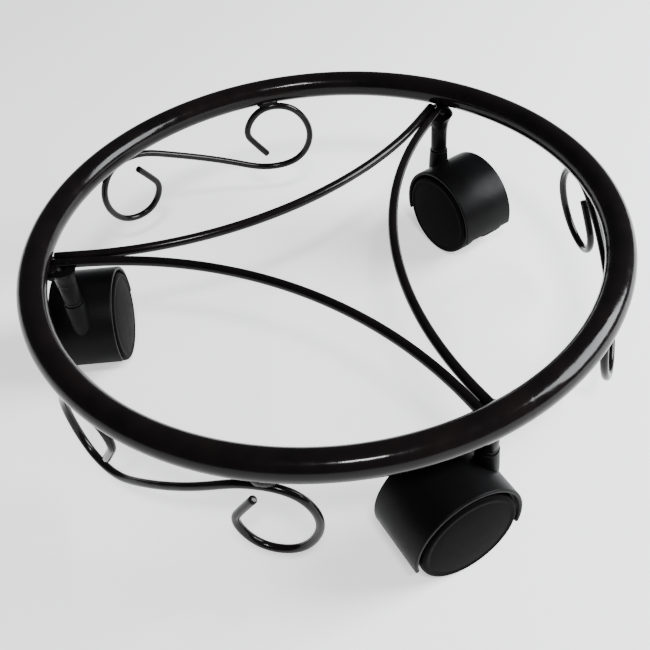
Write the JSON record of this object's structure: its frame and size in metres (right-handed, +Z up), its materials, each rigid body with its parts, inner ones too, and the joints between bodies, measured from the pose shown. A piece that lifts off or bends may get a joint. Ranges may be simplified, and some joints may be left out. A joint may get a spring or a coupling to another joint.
{
  "type": "plant caddy",
  "caption": "Low round rolling stand for a plant pot: a bent tube ring with bowed cross rods and wire scrolls on swivelling hooded twin-wheel casters.",
  "frame": {"origin": "on the floor, under the centre of the ring", "axes": "+Z up; the back caster stands towards +X and +Y, the front caster towards +X and -Y, the left caster towards -X"},
  "size_m": [0.3009, 0.3036, 0.0958],
  "materials": {
    "ring_paint": "gloss",
    "rod_paint": "gloss",
    "scroll_paint": "gloss",
    "weld_paint": "satin",
    "sleeve_paint": "satin",
    "stem_steel": "satin",
    "clip_steel": "satin",
    "axle_steel": "satin",
    "hood_plastic": "satin",
    "wheel_plastic": "satin"
  },
  "bodies": {
    "frame": {"ring_tube": "ring_paint", "ring_seam_weld": "weld_paint", "rod_right": "rod_paint", "rod_back_left": "rod_paint", "rod_front_left": "rod_paint", "scroll_back_left": "scroll_paint", "scroll_weld_back_left_first": "weld_paint", "scroll_weld_back_left_second": "weld_paint", "scroll_front_left": "scroll_paint", "scroll_weld_front_left_first": "weld_paint", "scroll_weld_front_left_second": "weld_paint", "scroll_right": "scroll_paint", "scroll_weld_right_first": "weld_paint", "scroll_weld_right_second": "weld_paint", "sleeve_front": "sleeve_paint", "station_weld_front": "weld_paint", "stem_front": "stem_steel", "grip_ring_front": "clip_steel", "push_nut_front": "clip_steel", "sleeve_back": "sleeve_paint", "station_weld_back": "weld_paint", "stem_back": "stem_steel", "grip_ring_back": "clip_steel", "push_nut_back": "clip_steel", "sleeve_left": "sleeve_paint", "station_weld_left": "weld_paint", "stem_left": "stem_steel", "grip_ring_left": "clip_steel", "push_nut_left": "clip_steel"},
    "caster_front": {"hood_front": "hood_plastic", "axle_front": "axle_steel"},
    "wheel_front_a": {"wheel_front_a": "wheel_plastic"},
    "wheel_front_b": {"wheel_front_b": "wheel_plastic"},
    "caster_back": {"hood_back": "hood_plastic", "axle_back": "axle_steel"},
    "wheel_back_a": {"wheel_back_a": "wheel_plastic"},
    "wheel_back_b": {"wheel_back_b": "wheel_plastic"},
    "caster_left": {"hood_left": "hood_plastic", "axle_left": "axle_steel"},
    "wheel_left_a": {"wheel_left_a": "wheel_plastic"},
    "wheel_left_b": {"wheel_left_b": "wheel_plastic"}
  },
  "joints": [
    {"name": "swivel_front", "type": "hinge", "parent": "frame", "child": "caster_front", "pos_m": [0.06034, -0.11841, 0.04], "axis": [0, 0, 1], "continuous": true},
    {"name": "spin_front_a", "type": "hinge", "parent": "caster_front", "child": "wheel_front_a", "pos_m": [0.04256, -0.12667, 0.025], "axis": [-0.421, 0.907, 0], "continuous": true},
    {"name": "spin_front_b", "type": "hinge", "parent": "caster_front", "child": "wheel_front_b", "pos_m": [0.04256, -0.12667, 0.025], "axis": [-0.421, 0.907, 0], "continuous": true},
    {"name": "swivel_back", "type": "hinge", "parent": "frame", "child": "caster_back", "pos_m": [0.07699, 0.10833, 0.04], "axis": [0, 0, 1], "continuous": true},
    {"name": "spin_back_a", "type": "hinge", "parent": "caster_back", "child": "wheel_back_a", "pos_m": [0.08688, 0.09141, 0.025], "axis": [-0.8634, -0.5045, 0], "continuous": true},
    {"name": "spin_back_b", "type": "hinge", "parent": "caster_back", "child": "wheel_back_b", "pos_m": [0.08688, 0.09141, 0.025], "axis": [-0.8634, -0.5045, 0], "continuous": true},
    {"name": "swivel_left", "type": "hinge", "parent": "frame", "child": "caster_left", "pos_m": [-0.13288, 0.00255, 0.04], "axis": [0, 0, 1], "continuous": true},
    {"name": "spin_left_a", "type": "hinge", "parent": "caster_left", "child": "wheel_left_a", "pos_m": [-0.13246, 0.02215, 0.025], "axis": [0.9998, -0.0209, 0], "continuous": true},
    {"name": "spin_left_b", "type": "hinge", "parent": "caster_left", "child": "wheel_left_b", "pos_m": [-0.13246, 0.02215, 0.025], "axis": [0.9998, -0.0209, 0], "continuous": true}
  ]
}
